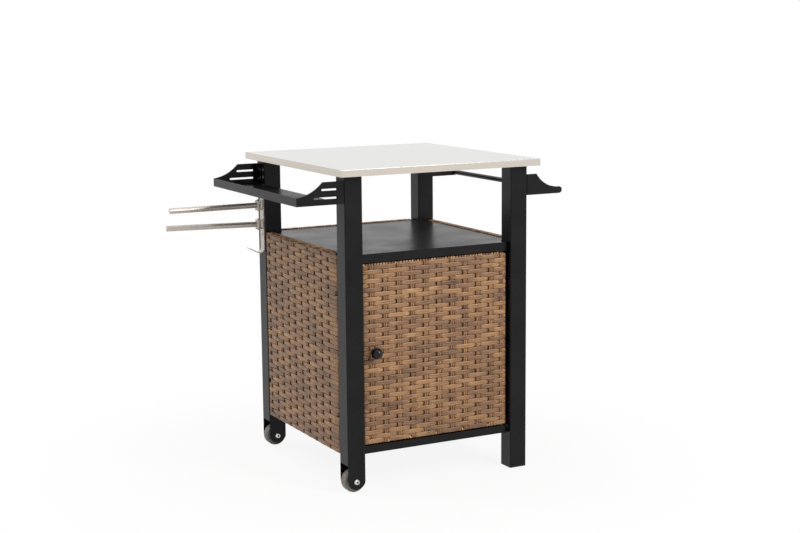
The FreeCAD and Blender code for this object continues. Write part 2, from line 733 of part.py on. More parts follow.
def slot(side, end, middle):
    """The outline of a round-ended slot in a bracket of the rack."""
    turn = SIGN[side]
    near = beside(side, "slot_start + slot_tall/2")
    far = beside(side, f"{end} - slot_tall/2")
    low, high = around(middle, "slot_tall/2")
    return [(near, low), (far, low, turn, "slot_tall/2"), (beside(side, end), middle, turn, "slot_tall/2"),
            (far, high), (near, high, turn, "slot_tall/2"),
            (beside(side, "slot_start"), middle, turn, "slot_tall/2")]


def side_bracket(side, end, outlines, low, high, holes):
    """The bracket, with a round bend between plate and flange, and its two screws; holes are cut through its plate."""
    face = f"({SIGN[end]}*{OUT_Y})"
    inner = f"{face} - ({SIGN[end]})*bracket_sheet"
    flange_end = f"{face} - ({SIGN[end]})*bracket_flange"
    bend_x = beside(side, "bracket_bend")
    bend_y = f"({face} - ({SIGN[end]})*bracket_bend)"
    form = plate("XZ_Plane", "bracket_sheet", outlines, y=rising(face, inner)[0])
    flange = box((beside(side, "0"), beside(side, "bracket_sheet")), (bend_y, flange_end), (low, high))
    bend = cut(rod(bend_x, bend_y, (low, high), "bracket_bend"),
               rod(bend_x, bend_y, (low, high), "bracket_bend - bracket_sheet"),
               box((bend_x, beside(side, "2*bracket_bend")), around(bend_y, "bracket_bend"), (low, high)),
               box((beside(side, "0"), bend_x), (bend_y, f"{bend_y} - ({SIGN[end]})*bracket_bend"), (low, high)))
    screws = []
    for tall in (f"{low} + bracket_screw_edge", f"{high} - bracket_screw_edge"):
        at = ((beside(side, "bracket_sheet"), beside(side, "-leg_wall - screw_grip")),
              f"{face} - ({SIGN[end]})*bracket_flange/2", tall)
        screws.append(screw(*at, socket=True))
        holes = holes + [hole(*at)]
        leg_holes[side, end].append(hole(*at))
    return cut(joined(form, bend, flange), *holes), screws


# Rack: slotted end brackets with a hollowed top edge, and a folded tray between them

RACK_HIGH = f"({RIM_LOW} - rack_down)"
RACK_LOW = f"({RACK_HIGH} - rack_tall)"
RACK_PLATE = [(beside("left", "bracket_bend"), RACK_LOW),
              (beside("left", "rack_out"), RACK_LOW),
              (beside("left", "rack_out"), f"{RACK_LOW} + rack_lip", 1, "rack_hollow"),
              (beside("left", "rack_flat"), RACK_HIGH),
              (beside("left", "bracket_bend"), RACK_HIGH)]
RACK_SLOTS = [slot("left", "slot_upper_end", f"({RACK_HIGH} - slot_upper_down)"),
              slot("left", "slot_lower_end", f"({RACK_LOW} + slot_lower_up)")]
rack_screws = []
for end in ("front", "rear"):
    bracket, screws = side_bracket("left", end, [RACK_PLATE, *RACK_SLOTS], RACK_LOW, RACK_HIGH, [])
    node(f"rack_bracket_{end}", bracket)
    rack_screws += screws
group("rack_screws", rack_screws)

TRAY_Y = around("0", f"{OUT_Y} - bracket_sheet")
TRAY_BACK = "bracket_bend + seat_gap"
tray_floor = box((beside("left", TRAY_BACK), beside("left", "rack_out")), TRAY_Y,
                 (RACK_LOW, f"{RACK_LOW} + rack_sheet"))
tray_lip = box((beside("left", "rack_out - rack_sheet"), beside("left", "rack_out")), TRAY_Y,
               (RACK_LOW, f"{RACK_LOW} + rack_lip"))
node("rack_tray", joined(tray_floor, tray_lip))

# Handle: end brackets with a round nose, and a rail screwed between the noses

HANDLE_HIGH = f"({RIM_LOW} - handle_down)"
HANDLE_LOW = f"({HANDLE_HIGH} - handle_tall)"
RAIL_OUT = "handle_out - handle_end_radius"
RAIL_X = beside("right", RAIL_OUT)
RAIL_Z = f"({HANDLE_LOW} + handle_end_radius)"
NOSE_TOP = f"{HANDLE_LOW} + 2*handle_end_radius"
HANDLE_PLATE = [(beside("right", "bracket_bend"), HANDLE_LOW),
                (RAIL_X, HANDLE_LOW, 1, "handle_end_radius"),
                (beside("right", "handle_out"), RAIL_Z, 1, "handle_end_radius"),
                (RAIL_X, NOSE_TOP),
                (beside("right", f"{RAIL_OUT} - handle_neck"), NOSE_TOP, -1, "handle_hollow"),
                (beside("right", "handle_flat"), HANDLE_HIGH),
                (beside("right", "bracket_bend"), HANDLE_HIGH)]
RAIL_END = f"({OUT_Y} - bracket_sheet)"
PLUG_END = f"({RAIL_END} - rail_plug)"
handle_screws = []
for end in ("front", "rear"):
    rail_reach = (RAIL_X, (f"{SIGN[end]}*{OUT_Y}", f"{SIGN[end]}*{PLUG_END}"), RAIL_Z)
    bracket, screws = side_bracket("right", end, [HANDLE_PLATE], HANDLE_LOW, HANDLE_HIGH, [hole(*rail_reach)])
    node(f"handle_bracket_{end}", bracket)
    handle_screws += screws + [screw(*rail_reach, socket=True)]
group("handle_screws", handle_screws)
node("handle_rail", cut(rod(RAIL_X, around("0", RAIL_END), RAIL_Z, "rail_radius"),
                        rod(RAIL_X, around("0", PLUG_END), RAIL_Z, "rail_radius - rail_wall"),
                        hole(RAIL_X, around("0", RAIL_END), RAIL_Z)))

# Swivel hanger: a strip that ends in a hook, and for each arm two lugs with a pin on which it turns

SWIVEL_X = beside("left", "pin_out")
SWIVEL_Y = f"({OUT_Y} - hanger_in)"
HANGER_HIGH = f"({RACK_LOW} - hanger_down)"
ARM_UPPER_Z = f"({RACK_LOW} - arm_down)"
ARM_LOWER_Z = f"({ARM_UPPER_Z} - arm_pitch)"
HOOK_LOW = f"({ARM_LOWER_Z} - hook_down)"
HOOK_OUT = "(hanger_sheet + hook_radius)"
HOOK_Z = f"({HOOK_LOW} + {HOOK_OUT})"


def on_hook(radius, turned_by, run="0"):
    """A place on the hook: round its bend from the lowest point, then straight on."""
    out = f"{HOOK_OUT} + {radius}*sin({turned_by}) + {run}*cos({turned_by})"
    return beside("left", out), f"{HOOK_Z} - {radius}*cos({turned_by}) + {run}*sin({turned_by})"


STRIP = [(beside("left", "0"), HANGER_HIGH),
         (beside("left", "0"), HOOK_Z, -1, HOOK_OUT),
         (*on_hook(HOOK_OUT, "0"), -1, HOOK_OUT),
         on_hook(HOOK_OUT, "hook_rise"),
         on_hook(HOOK_OUT, "hook_rise", "hook_run"),
         on_hook("hook_radius", "hook_rise", "hook_run"),
         (*on_hook("hook_radius", "hook_rise"), 1, "hook_radius"),
         (*on_hook("hook_radius", "0"), 1, "hook_radius"),
         (beside("left", "hanger_sheet"), HOOK_Z),
         (beside("left", "hanger_sheet"), HANGER_HIGH)]
PIN_FIT = "pin_radius + run_gap"
strip_parts = [plate("XZ_Plane", "hanger_wide", [STRIP], y=f"{SWIVEL_Y} - hanger_wide/2")]
hanger_pins, hanger_holes = [], []
for tall in (ARM_UPPER_Z, ARM_LOWER_Z):
    lug_up, lug_down = f"({tall} + knuckle_tall/2 + seat_gap)", f"({tall} - knuckle_tall/2 - seat_gap)"
    for lug_z in ((lug_up, f"{lug_up} + lug_thick"), (lug_down, f"{lug_down} - lug_thick")):
        strip_parts.append(box((beside("left", "hanger_sheet"), SWIVEL_X), around(SWIVEL_Y, "lug_wide/2"), lug_z))
        strip_parts.append(rod(SWIVEL_X, SWIVEL_Y, lug_z, "lug_wide/2"))
    pin_z = (f"{lug_up} + lug_thick", f"{lug_down} - lug_thick - pin_tail")
    hanger_pins.append(screw(SWIVEL_X, SWIVEL_Y, pin_z, "pin"))
    hanger_holes.append(rod(SWIVEL_X, SWIVEL_Y, pin_z, PIN_FIT))
hanger_screws = []
for tall in (f"{HANGER_HIGH} - hanger_screw_edge", f"{ARM_LOWER_Z} - hanger_screw_low"):
    at = ((beside("left", "hanger_sheet"), beside("left", "-leg_wall - screw_grip")), SWIVEL_Y, tall)
    hanger_screws.append(screw(*at, socket=True))
    hanger_holes.append(hole(*at))
    leg_holes["left", "rear"].append(hole(*at))
node("hanger_strip", cut(joined(*strip_parts), *hanger_holes))
group("hanger_screws", hanger_screws)
group("hanger_pins", hanger_pins)

# Arms: a tube on a knuckle, with a plug in the open end; the lower one is swung to the rear


def swung(solid, angle):
    """Turns a piece about the hanger's pin."""
    pin_x = f"({SHIFT_X} + {SWIVEL_X})"
    bind(solid, "Placement.Rotation.Angle", angle)
    bind(solid, "Placement.Base.x", f"{pin_x} - {pin_x}*cos({angle}) + {SWIVEL_Y}*sin({angle})")
    bind(solid, "Placement.Base.y", f"{SWIVEL_Y} - {pin_x}*sin({angle}) - {SWIVEL_Y}*cos({angle})")
    return solid


def from_pin(near, far):
    return (f"{SWIVEL_X} - ({near})", f"{SWIVEL_X} - ({far})")


for name, tall, angle in (("upper", ARM_UPPER_Z, "0"), ("lower", ARM_LOWER_Z, "-arm_lower_turn_deg")):
    knuckle_z = around(tall, "knuckle_tall/2")
    form = joined(rod(SWIVEL_X, SWIVEL_Y, knuckle_z, "knuckle_radius"),
                  rod(from_pin("arm_start", "arm_long - arm_cap"), SWIVEL_Y, tall, "arm_radius"))
    arm = cut(form, rod(SWIVEL_X, SWIVEL_Y, knuckle_z, PIN_FIT),
              rod(from_pin("arm_solid", "arm_long - arm_cap"), SWIVEL_Y, tall, "arm_radius - arm_wall"))
    cap = joined(rod(from_pin("arm_long - arm_cap", "arm_long"), SWIVEL_Y, tall, "arm_radius"),
                 rod(from_pin("arm_long - arm_cap - arm_cap_plug", "arm_long - arm_cap"), SWIVEL_Y, tall,
                     "arm_radius - arm_wall - hole_gap"))
    node(f"arm_{name}", swung(arm, angle))
    node(f"arm_{name}_cap", swung(cap, angle))

# Legs: square tubes up to the sheet; the left ones are cut open below into forks with rounded cheeks

FORK_TOP = "(2*wheel_radius + fork_clear)"
CHEEK_Z = "(fork_drop + leg_size/2)"
for (side, end), holes in leg_holes.items():
    middle_x = f"({SIGN[side]}*{MID_X})"
    middle_y = f"({SIGN[end]}*{MID_Y})"
    low = "fork_drop" if side == "left" else "foot_flange"
    tube_form = plate("XY_Plane", f"{SHEET_UNDER} - {low}",
                      [rounded_square("leg_size/2", "leg_size/2", "leg_round")], x=middle_x, y=middle_y, z=low)
    tools = [box(around(middle_x, "leg_size/2 - leg_wall"), around(middle_y, "leg_size/2 - leg_wall"),
                 (low, SHEET_UNDER)), *holes]
    if side == "left":
        full_x = around(middle_x, "leg_size/2 + leg_wall")
        tools.append(box(full_x, around(middle_y, "leg_size/2 - leg_wall"), (low, FORK_TOP)))
        full_y = around(middle_y, "leg_size/2 + leg_wall")
        tools.append(cut(box(full_x, full_y, ("fork_drop - leg_wall", CHEEK_Z)),
                         rod(middle_x, full_y, CHEEK_Z, "leg_size/2")))
    node(f"leg_{end}_{side}", cut(tube_form, *tools))

# Recompute, check every object, and write one file for each piece

doc.recompute()
failed = [item.Label for item in doc.Objects if "Invalid" in item.State or "Error" in item.State]
failed += [item.Label for item in nodes if item.Shape.isNull() or not item.Shape.isValid() or not item.Shape.Solids]
if failed:
    raise RuntimeError(f"failed: {failed}")
os.makedirs("parts", exist_ok=True)
for item in nodes:
    item.Shape.exportStep(f"parts/{item.Label}.step")
print(len(nodes), "nodes,", sum(len(item.Shape.Solids) for item in nodes), "solids")
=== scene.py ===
import math
import random

import bpy
import numpy as np
from mathutils import Matrix, Vector, noise


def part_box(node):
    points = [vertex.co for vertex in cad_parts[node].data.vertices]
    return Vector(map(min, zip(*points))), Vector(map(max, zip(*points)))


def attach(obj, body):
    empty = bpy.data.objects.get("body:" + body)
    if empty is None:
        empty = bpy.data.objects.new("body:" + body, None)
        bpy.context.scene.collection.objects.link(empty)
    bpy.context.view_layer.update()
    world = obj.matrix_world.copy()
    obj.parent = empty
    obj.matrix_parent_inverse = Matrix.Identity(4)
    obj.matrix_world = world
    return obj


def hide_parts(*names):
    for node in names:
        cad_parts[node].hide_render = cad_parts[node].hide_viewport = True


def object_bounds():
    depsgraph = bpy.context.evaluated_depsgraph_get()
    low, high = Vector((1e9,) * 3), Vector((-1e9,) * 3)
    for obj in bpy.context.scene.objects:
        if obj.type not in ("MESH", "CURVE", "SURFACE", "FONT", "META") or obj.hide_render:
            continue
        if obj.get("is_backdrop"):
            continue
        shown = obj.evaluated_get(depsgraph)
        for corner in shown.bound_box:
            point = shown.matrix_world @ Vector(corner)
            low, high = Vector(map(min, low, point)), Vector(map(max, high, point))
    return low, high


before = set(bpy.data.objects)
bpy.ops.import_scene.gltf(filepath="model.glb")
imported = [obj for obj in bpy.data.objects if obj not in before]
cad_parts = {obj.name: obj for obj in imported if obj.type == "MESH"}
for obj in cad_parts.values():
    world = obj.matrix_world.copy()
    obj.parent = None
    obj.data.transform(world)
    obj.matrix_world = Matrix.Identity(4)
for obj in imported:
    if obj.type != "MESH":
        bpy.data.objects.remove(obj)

cad_low, cad_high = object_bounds()

# Legs, top rails and tube frames
# Four legs of 50 mm square steel tube, tied at their tops by folded rails and a stiffener, and the
# 15 mm tube frames that the woven panels are made on. All are cut, drilled and welded bare, then
# dry-sprayed with black powder and baked.

MM = 0.001


def linear(code):
    """The linear colour of an sRGB hex code."""
    shares = [int(code[start:start + 2], 16)/255 for start in (1, 3, 5)]
    return [s/12.92 if s <= 0.04045 else ((s + 0.055)/1.055)**2.4 for s in shares] + [1.0]


def new_finish(name):
    """A new material, with its node tree and its Principled shader."""
    finish = bpy.data.materials.new(name)
    finish.use_nodes = True
    return finish, finish.node_tree, finish.node_tree.nodes["Principled BSDF"]


def feed(tree, made, sockets):
    """Gives sockets, by name or number, a plain value or a link from another node's output."""
    for key, given in sockets.items():
        if isinstance(given, bpy.types.NodeSocket):
            tree.links.new(given, made.inputs[key])
        else:
            made.inputs[key].default_value = given


def add(tree, kind, sockets=(), stops=(), **settings):
    """Adds one node with its settings, its colour stops if it is a ramp, and what feeds its sockets."""
    made = tree.nodes.new("ShaderNode" + kind)
    for key, setting in settings.items():
        setattr(made, key, setting)
    for number, (position, code) in enumerate(stops):
        ramp = made.color_ramp.elements
        stop = ramp[number] if number < 2 else ramp.new(position)
        stop.position, stop.color = position, linear(code)
    feed(tree, made, dict(sockets))
    return made


def dress(finish, *names):
    """Puts a finish on CAD nodes."""
    for name in names:
        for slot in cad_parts[name].material_slots:
            slot.material = finish


# Polyester powder coat: an even satin black with a fine pebbled grain, duller in soft patches where
# it has been rubbed and wiped. The pebbles are about 0.5 mm, drawn at 1.6 mm so that they show.
COAT_PEBBLE = 1.6
COAT_PATCH = 90
# The noise at which a patch is still shiny, and at which it is fully dull
COAT_FADE = (0.35, 0.65)


def powder_coat(name, shiny, dull):
    """The black coat, between two roughnesses."""
    finish, tree, shader = new_finish(name)
    place = add(tree, "TexCoord")
    pebbles = add(tree, "TexNoise", {"Vector": place.outputs["Object"], "Scale": 1/(COAT_PEBBLE*MM),
                                     "Detail": 1.0})
    patches = add(tree, "TexNoise", {"Vector": place.outputs["Object"], "Scale": 1/(COAT_PATCH*MM),
                                     "Detail": 3.0})
    shade = add(tree, "ValToRGB", {"Fac": patches.outputs["Fac"]},
                [(COAT_FADE[0], "#0E0E0F"), (COAT_FADE[1], "#151516")])
    dulling = add(tree, "MapRange", {"Value": patches.outputs["Fac"], "From Min": COAT_FADE[0],
                                     "From Max": COAT_FADE[1], "To Min": shiny, "To Max": dull})
    relief = add(tree, "Bump", {"Height": pebbles.outputs["Fac"], "Strength": 0.04, "Distance": 0.1*MM})
    feed(tree, shader, {"Base Color": shade.outputs["Color"], "Roughness": dulling.outputs["Result"],
                        "Specular IOR Level": 0.18, "Normal": relief.outputs["Normal"]})
    return finish


coat = powder_coat("black_powder_coat_on_steel", shiny=0.24, dull=0.32)
CORNERS = [f"{end}_{side}" for end in ("front", "rear") for side in ("left", "right")]
dress(coat, *[f"leg_{corner}" for corner in CORNERS], "top_stiffener", "door_frame",
      *[f"top_rail_{side}" for side in ("front", "rear", "left", "right")],
      *[f"panel_{side}_frame" for side in ("left", "right", "rear")])

# Wheels, and the plugs of the right feet
# Two 60 mm wheels turn in the forked left legs, each a soft grey tyre moulded onto a harder hub, on
# a plated axle screw with sleeves and a nut. The right legs end in pressed-in plastic plugs.

# Thermoplastic rubber: matt mid grey, mottled by small scuffs
TYRE_SCUFF = 7
tyre_rubber, tree, shader = new_finish("grey_thermoplastic_rubber")
place = add(tree, "TexCoord")
scuffs = add(tree, "TexNoise", {"Vector": place.outputs["Object"], "Scale": 1/(TYRE_SCUFF*MM), "Detail": 4.0})
shade = add(tree, "ValToRGB", {"Fac": scuffs.outputs["Fac"]}, [(0.3, "#7A736D"), (0.7, "#958D87")])
relief = add(tree, "Bump", {"Height": scuffs.outputs["Fac"], "Strength": 0.2, "Distance": 0.2*MM})
feed(tree, shader, {"Base Color": shade.outputs["Color"], "Roughness": 0.62, "Normal": relief.outputs["Normal"]})
dress(tyre_rubber, "wheel_front_tyre", "wheel_rear_tyre")

# Moulded nylon: pale grey, half matt, with the slight sink marks of thick plastic
HUB_SINK = 5
hub_nylon, tree, shader = new_finish("grey_moulded_nylon")
place = add(tree, "TexCoord")
sinks = add(tree, "TexNoise", {"Vector": place.outputs["Object"], "Scale": 1/(HUB_SINK*MM), "Detail": 2.0})
shade = add(tree, "ValToRGB", {"Fac": sinks.outputs["Fac"]}, [(0.3, "#8E8A86"), (0.7, "#A19D99")])
relief = add(tree, "Bump", {"Height": sinks.outputs["Fac"], "Strength": 0.15, "Distance": 0.3*MM})
feed(tree, shader, {"Base Color": shade.outputs["Color"], "Roughness": 0.45, "Normal": relief.outputs["Normal"]})
dress(hub_nylon, "wheel_front_hub", "wheel_rear_hub", "wheel_sleeves")

# Bright zinc plate on steel: silvery, and cloudy in small patches
ZINC_CLOUD = 3
zinc, tree, shader = new_finish("bright_zinc_plate_on_steel")
place = add(tree, "TexCoord")
clouds = add(tree, "TexNoise", {"Vector": place.outputs["Object"], "Scale": 1/(ZINC_CLOUD*MM), "Detail": 3.0})
shade = add(tree, "ValToRGB", {"Fac": clouds.outputs["Fac"]}, [(0.3, "#B9BABA"), (0.7, "#D3D4D3")])
cloudiness = add(tree, "MapRange", {"Value": clouds.outputs["Fac"], "To Min": 0.22, "To Max": 0.42})
feed(tree, shader, {"Base Color": shade.outputs["Color"], "Metallic": 1.0,
                    "Roughness": cloudiness.outputs["Result"]})
dress(zinc, "axle_nuts", "panel_bolts", "panel_nuts", "pan_screws", "top_rail_screws", "catch_screws",
      "catch_strike", "knob_screw")

# The same plate on the axle screws: a bright ring round a hex socket whose inside is painted dark as painted
# shade in its depth, both given by their radius in mm
SOCKET_EDGE, RING_STARTS = 2.6, 3.3
axle_zinc, tree, shader = new_finish("zinc_plate_with_painted_socket_shade")
low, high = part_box("axle_front")
place = add(tree, "TexCoord")
from_axis = add(tree, "VectorMath", {0: place.outputs["Object"], 1: (low + high)/2}, operation="SUBTRACT")
level_with_it = add(tree, "VectorMath", {0: from_axis.outputs["Vector"], 1: (1, 0, 1)}, operation="MULTIPLY")
out = add(tree, "VectorMath", {0: level_with_it.outputs["Vector"]}, operation="LENGTH")
ring = add(tree, "MapRange", {"Value": out.outputs["Value"], "From Min": SOCKET_EDGE*MM,
                              "From Max": RING_STARTS*MM})
# Painted shade: the socket's inside is dark, the ring round it is bright plate
shade = add(tree, "ValToRGB", {"Fac": ring.outputs["Result"]}, [(0.0, "#2B2724"), (1.0, "#E4E3E0")])
feed(tree, shader, {"Base Color": shade.outputs["Color"], "Metallic": ring.outputs["Result"], "Roughness": 0.3})
dress(axle_zinc, "axle_front", "axle_rear")

# Moulded polypropylene: soft black with an even spark-eroded grain of about 0.4 mm, drawn at 1 mm
PLASTIC_GRAIN = 1.0
black_plastic, tree, shader = new_finish("black_moulded_polypropylene")
place = add(tree, "TexCoord")
grain = add(tree, "TexNoise", {"Vector": place.outputs["Object"], "Scale": 1/(PLASTIC_GRAIN*MM), "Detail": 2.0})
shade = add(tree, "ValToRGB", {"Fac": grain.outputs["Fac"]}, [(0.3, "#151515"), (0.7, "#1D1D1D")])
relief = add(tree, "Bump", {"Height": grain.outputs["Fac"], "Strength": 0.2, "Distance": 0.1*MM})
feed(tree, shader, {"Base Color": shade.outputs["Color"], "Roughness": 0.55, "Normal": relief.outputs["Normal"]})
dress(black_plastic, "foot_cap_front", "foot_cap_rear", "panel_spacers", "door_bush_top", "door_bush_bottom",
      "catch_magnet")

# Shelf and floor
# Two steel sheets folded into shallow pans, the open shelf over the cabinet and the cabinet's floor. Their
# folds are screwed to the panels' tube frames, and they have the legs' powder coat.

# The same coat, rubbed dull by what is set down and slid about on it
dress(powder_coat("black_powder_coat_rubbed_dull", shiny=0.28, dull=0.35), "shelf_pan", "floor_pan")

# Woven panels
# Flat strands of extruded polyethylene, woven by hand over pairs of upright strands on the tube frames.
# Each row passes in front of one pair and behind the next, then turns back round the side tube, and a
# close diagonal wrapping binds the upper and lower tubes.

# Sizes in mm. A depth is inward from the panel's face, so that a minus stands proud of it.
ROW = 11.77
ROW_THICK = 2.4
# A row's width as shares of ROW: where it lies flat, what it gains on the crown of a float and behind a pair of
# uprights, and how much it is drawn in where it turns from one to the other
ROW_FLAT, ROW_SWELL, ROW_SPREAD, ROW_PINCH = 1.05, 0.05, 0.1, 0.5
# How far a row strays up and down, and the length of its waves
ROW_SWAY = (0.1, 0.4)
ROW_WAVE = (38, 60)
# Its depth at a float's ends, how far the float stands out from there, and how far along it swells
FLOAT_DEPTH = 0.4
FLOAT_SWELL = 1.8
FLOAT_REACH = 30
# Its depth behind a pair, how far to each side it stays so deep, and how far on it is back at the face
DIP_DEPTH = 4.0
DIP_FLAT = 6.3
DIP_REACH = 12
# Where a row's points lie, on both sides of a pair that it dips behind and of one that it floats over
DIP_POINTS = (DIP_FLAT, 8.5, 10.1, 11.7, 13.4)
FLOAT_POINTS = (-18, -9, 0, 9, 18)
# The depth at which a tube stops a dip, how far in from the panel's edge the tube is, and how far its hold reaches
HELD_DEPTH = 2.6
TUBE_MIDDLE, TUBE_REACH = 11.0, 13.0
# The uprights of a pair, their depths in the rows that show them and in the others, and how near an edge they stand
UPRIGHT_WIDE = 5.3
UPRIGHT_THICK = 2.6
UPRIGHT_APART = 5.4
UPRIGHT_SHOWN, UPRIGHT_HIDDEN = -0.7, 2.4
UPRIGHT_FROM_EDGE = 14
BINDING_WIDE = 6.6
BINDING_GAP = 8.2
BINDING_THICK = 1.4
# How far one turn of the binding slants, how unevenly it was wound, and how near it comes to the panel's ends
BINDING_SLANT = 9
BINDING_UNEVEN = (0.85, 1.15)
BINDING_INSET = 3
BINDING_STOP = 2
# How much of a panel's height its upper and lower bindings take
UPPER_BOUND, LOWER_BOUND = 4.6, 2.6
# How near a bolt a row is notched, as a share of ROW, how near it one isn't turned in behind the tube, and how near
# a pin the binding is left out
NOTCH_REACH = 0.55
BOLT_CLEAR = 13
PIN_CLEAR = 8
# Ways round a tube from the panel's face, as distances in from the panel's edge and in from its face
ROUND_TUBE = [(5.0, 0.6), (2.0, 1.2), (1.0, 3.4), (1.0, 11.0), (1.0, 18.6), (2.0, 20.6), (5.0, 21.0), (18.0, 21.0)]
TUBE_INSIDE = [(20.2, 20.4), (21.0, 18.5), (21.0, 6.0)]
ROW_NOTCHED = [(19.0, 0.6), (15.0, 1.6), (13.0, 3.4), (12.0, 4.2)]
BINDING_START = [(9.0, 2.2), (5.5, 1.0)]
# The sections of the strands, from edge to edge over the crown and back, as shares of half the width and
# thickness: the rows' flat strand has two low ribs along it, and the uprights and bindings are plain
RIBBED = np.array([(-1, -0.3), (-0.8, 0.4), (-0.5, 0.95), (-0.2, 0.85), (0, 0.5), (0.2, 0.85), (0.5, 0.95),
                   (0.8, 0.4), (1, -0.3), (0.5, -0.8), (-0.5, -0.8)])
PLAIN = np.array([(-1, -0.2), (-0.6, 0.7), (0, 1), (0.6, 0.7), (1, -0.2), (0.5, -0.8), (-0.5, -0.8)])
# How pale the strands are, from 0 to 1: patches and the flecks in them, with their length, height and weight, and
# the spread from strand to strand
TONE_MIDDLE = 0.5
PATCH_LONG, PATCH_TALL, PATCH_WEIGHT = 95, 24, 0.31
FLECK_LONG, FLECK_TALL, FLECK_WEIGHT = 40, 9, 0.13
ROW_TONE_SPREAD = 0.05
UPRIGHT_TONE = (-0.04, 0.08)
BINDING_TONE = (0.15, 1.1)
# An upright's patches run along it: so many times narrower and longer than a row's
UPRIGHT_NARROWER, UPRIGHT_LONGER = 3, 4
# How far apart the panels, the flecks and the uprights are set in the noise, and the strands along their lines
PANELS_APART, FLECKS_APART, UPRIGHTS_APART, STRANDS_APART = 30, 50, 9, 50
draw = random.Random(41)


def ease(share):
    """A smooth step from 0 to 1."""
    share = np.clip(share, 0, 1)
    return share*share*(3 - 2*share)


def tone_at(across, up, patch):
    """How pale a strand is at a place on a panel: the colour drifts in long low patches with flecks in them."""
    drift = noise.noise(Vector((across/PATCH_LONG, up/PATCH_TALL, patch)))
    flecks = noise.noise(Vector((across/FLECK_LONG, up/FLECK_TALL, patch + FLECKS_APART)))
    return TONE_MIDDLE + PATCH_WEIGHT*drift + FLECK_WEIGHT*flecks


def lay_strand(weave, path, section, side, half_width, thick, tone, binding=False):
    """Adds one strand. Its path has points across, inward and upward in mm, and side is the way its width
    lies."""
    path = np.array(path, float)
    steps = np.linalg.norm(np.diff(path, axis=0), axis=1)
    along = np.concatenate([[0], np.cumsum(steps)])
    run = np.gradient(path, along, axis=0)
    crown = np.cross(run, side)
    crown /= np.linalg.norm(crown, axis=1)[:, None]
    half_width = np.broadcast_to(half_width, len(path))[:, None, None]
    rings = path[:, None] + section[:, :1]*half_width*np.array(side) + section[:, 1:]*thick/2*crown[:, None]
    count, points = len(section), rings.reshape(-1, 3)
    first = sum(len(laid) for laid in weave["points"])
    for ring in range(len(path) - 1):
        start = first + ring*count
        for edge in range(count):
            onward = (edge + 1) % count
            weave["faces"].append((start + edge, start + count + edge, start + count + onward, start + onward))
    weave["faces"].append(tuple(range(first, first + count)))
    weave["faces"].append(tuple(range(first + len(points) - 1, first + len(points) - count - 1, -1)))
    weave["binding"].extend([binding]*((len(path) - 1)*count + 2))
    weave["points"].append(points)
    lie = np.zeros((len(path), count, 3))
    lie[..., 0] = along[:, None]*MM + draw.uniform(0, STRANDS_APART)
    lie[..., 1] = section[:, 0]*half_width[..., 0]*MM
    lie[..., 2] = np.broadcast_to(tone, len(path))[:, None]
    weave["strand"].append(lie.reshape(-1, 3))


def lay_row(weave, half, up, goes_under, goes_over, bolts, rails, patch):
    """One row: floats over the uprights it passes in front of, dips behind the others, and turns round both
    tubes. In front of a tube it can't dip so deep. Beside a bolt it stops short of the tube, and leaves a notch in
    the panel's edge."""
    spots = [u + side*point for u in goes_under for point in DIP_POINTS for side in (-1, 1)]
    spots += [u + point for u in goes_over for point in FLOAT_POINTS]
    to_bolt = min([abs(up - bolt) for bolt in bolts], default=math.inf)
    turn = ROUND_TUBE + ([] if to_bolt < BOLT_CLEAR else TUBE_INSIDE)
    turn = np.array(ROW_NOTCHED if to_bolt < ROW*NOTCH_REACH else turn)
    across = np.array(sorted(u for u in spots if abs(u) < half - turn[0, 0] - 1))
    behind = np.abs(across[:, None] - np.array(goes_under)).min(1)
    before = np.abs(across[:, None] - np.array(goes_over)).min(1)
    dip = ease((DIP_REACH - behind)/(DIP_REACH - DIP_FLAT))
    swell = ease(1 - before/FLOAT_REACH)
    depth = FLOAT_DEPTH - FLOAT_SWELL*swell + (DIP_DEPTH - FLOAT_DEPTH)*dip
    by_side = half - np.abs(across) < TUBE_MIDDLE + TUBE_REACH
    by_rail = min(abs(up - rail) for rail in rails) < TUBE_REACH
    depth = np.where(by_side | by_rail, np.minimum(depth, HELD_DEPTH), depth)
    half_width = ROW/2*(ROW_FLAT + ROW_SWELL*swell - ROW_PINCH*dip*(1 - dip) + ROW_SPREAD*dip*dip)
    across = np.concatenate([turn[::-1, 0] - half, across, half - turn[:, 0]])
    depth = np.concatenate([turn[::-1, 1], depth, turn[:, 1]])
    half_width = np.pad(half_width, len(turn), constant_values=ROW/2)
    sway, phase, wave = draw.uniform(*ROW_SWAY), draw.uniform(0, 2*math.pi), draw.uniform(*ROW_WAVE)
    height = up + sway*np.sin(across/wave + phase)
    own = draw.gauss(0, ROW_TONE_SPREAD)
    tone = [tone_at(u, up, patch) + own for u in across]
    lay_strand(weave, np.stack([across, depth, height], 1), RIBBED, (0, 0, 1), half_width, ROW_THICK, tone)


def lay_upright(weave, across, tall, shown, patch):
    """One upright strand, near the face in the rows that show it, and deeper under the rows that float over it
    and under the bindings."""
    pitch = (tall - UPPER_BOUND - LOWER_BOUND)/len(shown)
    depths = [UPRIGHT_SHOWN if seen else UPRIGHT_HIDDEN for seen in shown]
    path = [(across, UPRIGHT_HIDDEN, LOWER_BOUND/2)]
    for row, depth in enumerate(depths):
        for share in (0.25, 0.75):
            path.append((across, depth, LOWER_BOUND + (row + share)*pitch))
    path.append((across, UPRIGHT_HIDDEN, tall - UPPER_BOUND/2))
    own = draw.uniform(*UPRIGHT_TONE)
    tone = [tone_at(across*UPRIGHT_NARROWER, up/UPRIGHT_LONGER, patch + UPRIGHTS_APART) + own for _, _, up in path]
    lay_strand(weave, path, PLAIN, (-1, 0, 0), UPRIGHT_WIDE/2, UPRIGHT_THICK, tone)


